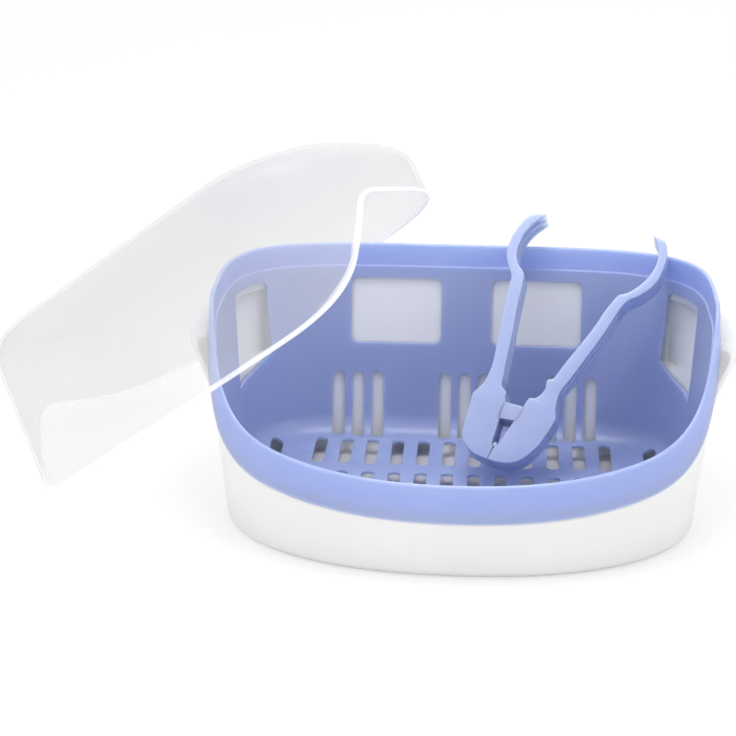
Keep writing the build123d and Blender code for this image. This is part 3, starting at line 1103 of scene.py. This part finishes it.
@dataclass
class Tongs:
    """Spring tongs: two halves with ribbed arms and hooks, joined by a short web.

    Each station of a half gives across and along of its outer edge, then of its inner edge,
    from the slit at the joined end to the tip of the hook. Across is measured outwards from
    the middle line, along from the joined end. The boss gives its middle and radius.
    """

    depth: float = 22.0
    base: Triple = (18.34, 0.72, 29.72)
    across: Triple = (0.9155, -0.3029, -0.2648)
    face: Triple = (-0.110, -0.822, 0.559)
    edge_radius: float = 0.45
    recess: float = 1.4
    ribs: Sizes = (2.2, 2.8, 9.4, 10.0, 12.0, 12.6, 19.2, 19.8)
    sunk: Sizes = (0.0, 1.0, 1.0, 0.0, 0.0, 1.0, 1.0, 0.0)
    outer_recesses: Pairs = ((12.5, 29.0), (52.0, 110.0))
    inner_recesses: Pairs = ((48.0, 108.0), (113.0, 153.0))
    boss: Triple = (-3.3, 10.2, 1.5)
    web: Pairs = ((-7.4, 25.3), (1.2, 27.6), (2.5, 36.7), (-7.9, 35.1))
    web_lap: float = 0.8
    web_ends: Pairs = ((-7.0, 30.5), (1.6, 30.5))
    web_steps: tuple[int, int] = (9, 25)
    stations: int = 230
    recess_end: float = 1.2
    recess_share: float = 0.28
    round_share: float = 0.3
    round_steps: int = 4
    boss_sizes: Sizes = (0.0, 0.8, 1.0, 1.0, 0.0)
    boss_depths: Sizes = (0.6, 0.6, 0.9, 21.2, 21.2)
    boss_steps: int = 24
    left: Stations = (
        (4.05, 1.0, 4.05, 1.2), (9.2, 0.8, 4.0, 4.5), (14.6, 1.6, 3.9, 8.0), (20.0, 4.6, 4.7, 9.6),
        (22.6, 7.4, 5.3, 10.6), (23.9, 11.0, 5.7, 13.5), (24.9, 16.5, 6.2, 17.7), (25.6, 22.5, 6.9, 22.5),
        (26.5, 27.5, 7.3, 27.0), (27.4, 32.3, 7.7, 32.0), (26.0, 36.0, 7.9, 35.1),
        (24.1, 40.6, 9.6, 38.3), (23.9, 43.0, 10.0, 40.6), (23.8, 45.5, 12.2, 41.8),
        (23.8, 47.5, 14.0, 43.5), (23.8, 49.5, 15.0, 46.5), (24.2, 53.0, 15.6, 49.5),
        (25.1, 57.5, 16.9, 54.5), (26.9, 65.1, 19.0, 64.0), (28.9, 73.0, 21.0, 73.0),
        (30.9, 81.5, 23.2, 81.5), (32.9, 90.0, 25.3, 90.0), (34.5, 97.0, 27.0, 98.5),
        (35.1, 101.5, 28.4, 104.8), (35.5, 104.3, 29.9, 109.1), (37.4, 107.0, 32.6, 111.2),
        (39.8, 109.7, 35.0, 112.8), (41.9, 112.5, 37.1, 115.2), (43.5, 115.2, 38.5, 118.0),
        (44.5, 118.0, 39.4, 121.0), (45.2, 121.5, 39.8, 124.5), (45.4, 126.0, 39.9, 127.6),
        (45.0, 131.1, 39.7, 130.9), (44.1, 135.2, 38.7, 134.8), (42.9, 139.0, 37.6, 138.0),
        (41.4, 141.7, 36.3, 140.6), (39.4, 144.0, 35.2, 142.4), (37.2, 145.0, 34.4, 143.9),
        (35.0, 145.9, 33.5, 145.4), (32.8, 146.9, 32.7, 146.7),
    )
    right: Stations = (
        (-3.75, 1.0, -3.75, 1.2), (1.8, 1.6, -3.6, 4.5), (7.3, 3.2, -3.3, 8.0), (11.6, 5.8, -2.6, 9.6),
        (14.9, 9.6, -1.7, 10.6), (17.4, 14.2, -1.2, 14.0), (19.8, 20.3, -0.2, 19.1),
        (21.0, 26.3, 0.8, 25.5), (21.9, 32.1, 1.9, 32.0), (22.2, 37.5, 2.5, 36.7),
        (20.4, 41.2, 3.5, 42.3), (19.1, 45.5, 6.6, 43.8), (18.6, 48.0, 8.9, 47.4),
        (18.2, 51.0, 9.7, 51.4), (18.5, 54.0, 8.9, 54.6), (18.8, 56.0, 8.8, 56.4),
        (19.7, 58.8, 11.4, 58.4), (20.6, 62.5, 12.4, 62.0), (22.2, 70.0, 14.1, 69.7),
        (24.2, 79.0, 16.5, 79.0), (26.0, 88.0, 18.8, 88.0), (27.6, 96.5, 20.8, 97.0),
        (28.8, 105.2, 22.1, 105.3), (29.9, 112.0, 23.8, 112.5), (31.9, 117.2, 25.7, 117.9),
        (34.6, 120.0, 28.1, 119.6), (37.2, 123.1, 30.6, 122.0), (39.1, 126.0, 33.0, 125.5),
        (40.9, 129.2, 34.8, 128.7), (42.0, 132.1, 36.0, 131.3), (42.8, 135.7, 36.9, 133.9),
        (42.9, 139.9, 37.9, 138.5), (42.7, 144.0, 38.1, 143.7), (41.9, 148.6, 37.4, 147.6),
        (40.8, 152.3, 36.5, 150.1), (39.5, 155.1, 35.2, 152.8), (37.3, 157.5, 34.0, 154.4),
        (34.8, 157.85, 32.9, 155.6), (32.2, 158.15, 31.4, 157.0), (29.8, 158.4, 29.8, 158.2),
    )

    def placed(self, flat: np.ndarray) -> np.ndarray:
        """Turns across, along and depth behind the front face into places in the row frame."""
        return np.array(self.base) + (flat * [1, 1, -1]) @ square(self.across, self.face)

    def hollow(self, along: np.ndarray, stretches: Pairs) -> np.ndarray:
        """Depth of a side's recess: full inside each stretch, and sloped at its ends.

        Args:
            along: how far along each station is.
            stretches: start and end of each recess.

        Returns:
            The depth at each station.
        """
        low, high = np.array(stretches).T[..., None]
        start, end = (np.clip(gap / self.recess_end, 0, 1) for gap in (along - low, high - along))
        return self.recess * (start * end).sum(0)

    def half(self, side: Side) -> Piece:
        """One half: a ribbon between its edges, carried through the depth.

        Each station's section is a closed loop: down the outer side from the front face to the
        back face, then up the inner side. The sides are hollowed on both sides of a middle rib.

        Args:
            side: left or right.

        Returns:
            The half's object.
        """
        edges = through(np.array(self.left if side is Side.LEFT else self.right), self.stations)
        outer, inner = edges[:, :2], edges[:, 2:]
        span = inner - outer
        width = np.linalg.norm(span, axis=1)[:, None]
        inward = span / width
        sines, cosines = quarter(self.round_steps)
        bend = self.edge_radius * (1 - cosines)
        depths = np.concatenate([bend, self.ribs, self.depth - bend[::-1]])
        round_off = np.concatenate([1 - sines, np.zeros(len(self.ribs)), (1 - sines)[::-1]])
        sunk = np.pad(self.sunk, self.round_steps)
        radius = np.minimum(self.edge_radius, width * self.round_share)

        def face(edge: np.ndarray, way: int, stretches: Pairs) -> np.ndarray:
            """One side of the section: the edge moved in by the recesses and the rounding.

            Args:
                edge: (stations, 2) edge of the half.
                way: 1 to move towards the inner edge, -1 towards the outer one.
                stretches: start and end of each recess.

            Returns:
                A (stations, depths, 3) array.
            """
            deep = np.minimum(self.hollow(edge[:, 1], stretches)[:, None], width * self.recess_share)
            pull = deep * sunk + radius * round_off
            flat = edge[:, None, :] + way * inward[:, None, :] * pull[..., None]
            return np.concatenate([flat, np.broadcast_to(depths[:, None], (*pull.shape, 1))], -1)

        down, up = face(outer, 1, self.outer_recesses), face(inner, -1, self.inner_recesses)
        loop = np.concatenate([down, up[:, ::-1]], 1)
        ends = loop[[0, -1]].mean(1, keepdims=True) * np.ones_like(loop[[0, -1]])
        loop = np.concatenate([ends[:1], loop, ends[1:]])
        loop[..., 0] *= side.value
        parts = [(self.placed(loop), False, True)]
        if side is Side.LEFT:
            parts.append((self.placed(self.pin()), False, True))
        return grid_object(f"tongs_{side.name.lower()}", parts)

    def pin(self) -> np.ndarray:
        """The small round boss at the narrow end of the wedge slot.

        Returns:
            A (rings, points, 3) array of circles, which shrink to a point at both ends.
        """
        across, along, radius = self.boss
        turn = np.linspace(0, FULL_TURN, self.boss_steps, endpoint=False)
        sizes = np.array(self.boss_sizes)[:, None] * radius
        depth = np.array(self.boss_depths)[:, None] + np.zeros(self.boss_steps)
        return np.stack([across + sizes * np.cos(turn), along + sizes * np.sin(turn), depth], -1)

    def bridge(self) -> Piece:
        """The short web between the halves, which laps a little over each of them.

        Across and along mix the web's four corners by how far a point is across and up it.

        Returns:
            The web's object.
        """
        low_left, low_right, high_right, high_left = np.array(self.web)
        rows, columns = self.web_steps
        u = np.linspace(0, 1, columns)[None, :, None]
        v = np.linspace(0, 1, rows)[:, None, None]
        low, high = low_left + (low_right - low_left) * u, high_left + (high_right - high_left) * u
        flat = low + (high - low) * v
        flat[..., 0] += np.linspace(-self.web_lap, self.web_lap, columns)
        front = np.pad(flat, ((0, 0), (0, 0), (0, 1)))
        back = front + [0, 0, self.depth]
        sides = [np.stack([front[i], back[i]]) for i in (0, -1)]
        sides += [np.stack([front[:, i], back[:, i]]) for i in (0, -1)]
        parts = [(self.placed(part), False, False) for part in (front, back, *sides)]
        return grid_object("tongs_web", parts)

    def build(self) -> None:
        """Makes both halves and the web between them."""
        dress(self.half(Side.LEFT), TONGS_BLUE, Body.TONGS_LEFT, "tongs_left_arm")
        dress(self.half(Side.RIGHT), TONGS_BLUE, Body.TONGS_RIGHT, "tongs_right_arm")
        web = self.bridge()
        web.data.materials.append(TONGS_BLUE.material())
        start, end = (
            tuple(self.placed(np.array([*flat, self.depth / 2])) * METRES) for flat in self.web_ends
        )
        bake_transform(web)
        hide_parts("tongs_bridge")
        log.info("%s: %d faces, bends between the halves", web.name, len(web.data.polygons))


# Studio


@dataclass
class Studio:
    """White floor and soft light, with the camera where the photograph was taken.

    A lamp gives its name, place in metres, size and power.
    """

    focal_pixels: float = 2201.0
    frame_pixels: float = 736.0
    sensor: float = 36.0
    centre_shift_pixels: float = 0.57
    place: Triple = (21.13, -1157.58, 493.71)
    forward: Triple = (-0.0596576, 0.9411989, -0.3325442)
    right: Triple = (0.9978182, 0.0656658, 0.0068477)
    clip: tuple[float, float] = (0.05, 20.0)
    lamps: tuple[tuple[str, Triple, float, float], ...] = (
        ("key", (-0.9, -1.1, 1.7), 1.6, 5.0),
        ("fill", (1.5, -0.8, 1.1), 1.4, 2.5),
        ("back", (0.2, 1.5, 1.5), 1.6, 4.0),
        ("top", (0.0, -0.06, 0.62), 0.3, 1.25),
    )
    aim: Triple = (0.0, 0.0, 0.08)
    room_light: float = 0.90
    floor_size: float = 12.0
    floor_drop: float = 0.0005
    floor_color: Triple = (0.96, 0.96, 0.96)
    floor_roughness: float = 0.9
    floor_glow: float = 0.55

    def camera(self) -> None:
        """Places the camera where it looks along forward, with right level in the picture."""
        forward, right = np.array(self.forward), np.array(self.right)
        data = bpy.data.cameras.new("camera")
        data.sensor_fit, data.sensor_width = "HORIZONTAL", self.sensor
        data.lens = self.sensor * self.focal_pixels / self.frame_pixels
        data.shift_x = -self.centre_shift_pixels / self.frame_pixels
        data.clip_start, data.clip_end = self.clip
        camera = bpy.data.objects.new("camera", data)
        turn = np.stack([right, np.cross(right, forward), -forward], 1)
        camera.matrix_world = Matrix.LocRotScale(Vector(self.place) * METRES, Matrix(turn.tolist()), None)
        bpy.context.collection.objects.link(camera)
        bpy.context.scene.camera = camera

    def lights(self) -> None:
        """Large soft area lamps aimed at the object."""
        for name, place, size, power in self.lamps:
            data = bpy.data.lights.new(name, "AREA")
            data.shape, data.size, data.energy = "DISK", size, power
            lamp = bpy.data.objects.new(name, data)
            lamp.location = place
            lamp.rotation_euler = (Vector(self.aim) - Vector(place)).to_track_quat("-Z", "Y").to_euler()
            bpy.context.collection.objects.link(lamp)

    def world(self) -> None:
        """Plain white surroundings that read as white to the camera and gently light the object."""
        world = bpy.data.worlds.new("studio")
        bpy.context.scene.world = world
        world.use_nodes = True
        wiring = Wiring(world.node_tree)
        path = world.node_tree.nodes.new("ShaderNodeLightPath").outputs
        seen = wiring.maths("MAXIMUM", path["Is Camera Ray"], path["Is Transmission Ray"])
        strength = wiring.add("MapRange", {"Value": seen, "To Min": self.room_light}, "Result")
        wiring.fill(world.node_tree.nodes["Background"], {"Color": (1, 1, 1, 1), "Strength": strength})

    def floor(self) -> None:
        """A white floor that keeps the object's soft shadow.

        To the camera a share of it glows white, and the rest is lit as any other surface.
        """
        bpy.ops.mesh.primitive_plane_add(size=self.floor_size, location=(0, 0, -self.floor_drop))
        floor = bpy.context.object
        floor.name = "floor"
        material = bpy.data.materials.new("floor")
        material.use_nodes = True
        nodes = material.node_tree.nodes
        wiring = Wiring(material.node_tree)
        shader = nodes["Principled BSDF"]
        wiring.fill(shader, {"Base Color": (*self.floor_color, 1), "Roughness": self.floor_roughness})
        glow = wiring.add("Emission", {"Strength": 1.0})
        part = wiring.maths("MULTIPLY", wiring.add("LightPath", {}, "Is Camera Ray"), self.floor_glow)
        mix = wiring.add("MixShader", {0: part, 1: shader.outputs["BSDF"], 2: glow})
        wiring.fill(nodes["Material Output"], {"Surface": mix})
        floor.data.materials.append(material)

    def build(self) -> None:
        """Sets up the camera, the light, the surroundings and the floor."""
        self.camera()
        self.lights()
        self.world()
        self.floor()
        bpy.context.scene.view_settings.view_transform = "Standard"


def main() -> None:
    """Builds the studio and the pieces."""
    Studio().build()
    for assembly in (Tub(), Basket(), Lid(), Tongs()):
        assembly.build()
        log.info("%s done", type(assembly).__name__)


if __name__ == "__main__":
    main()
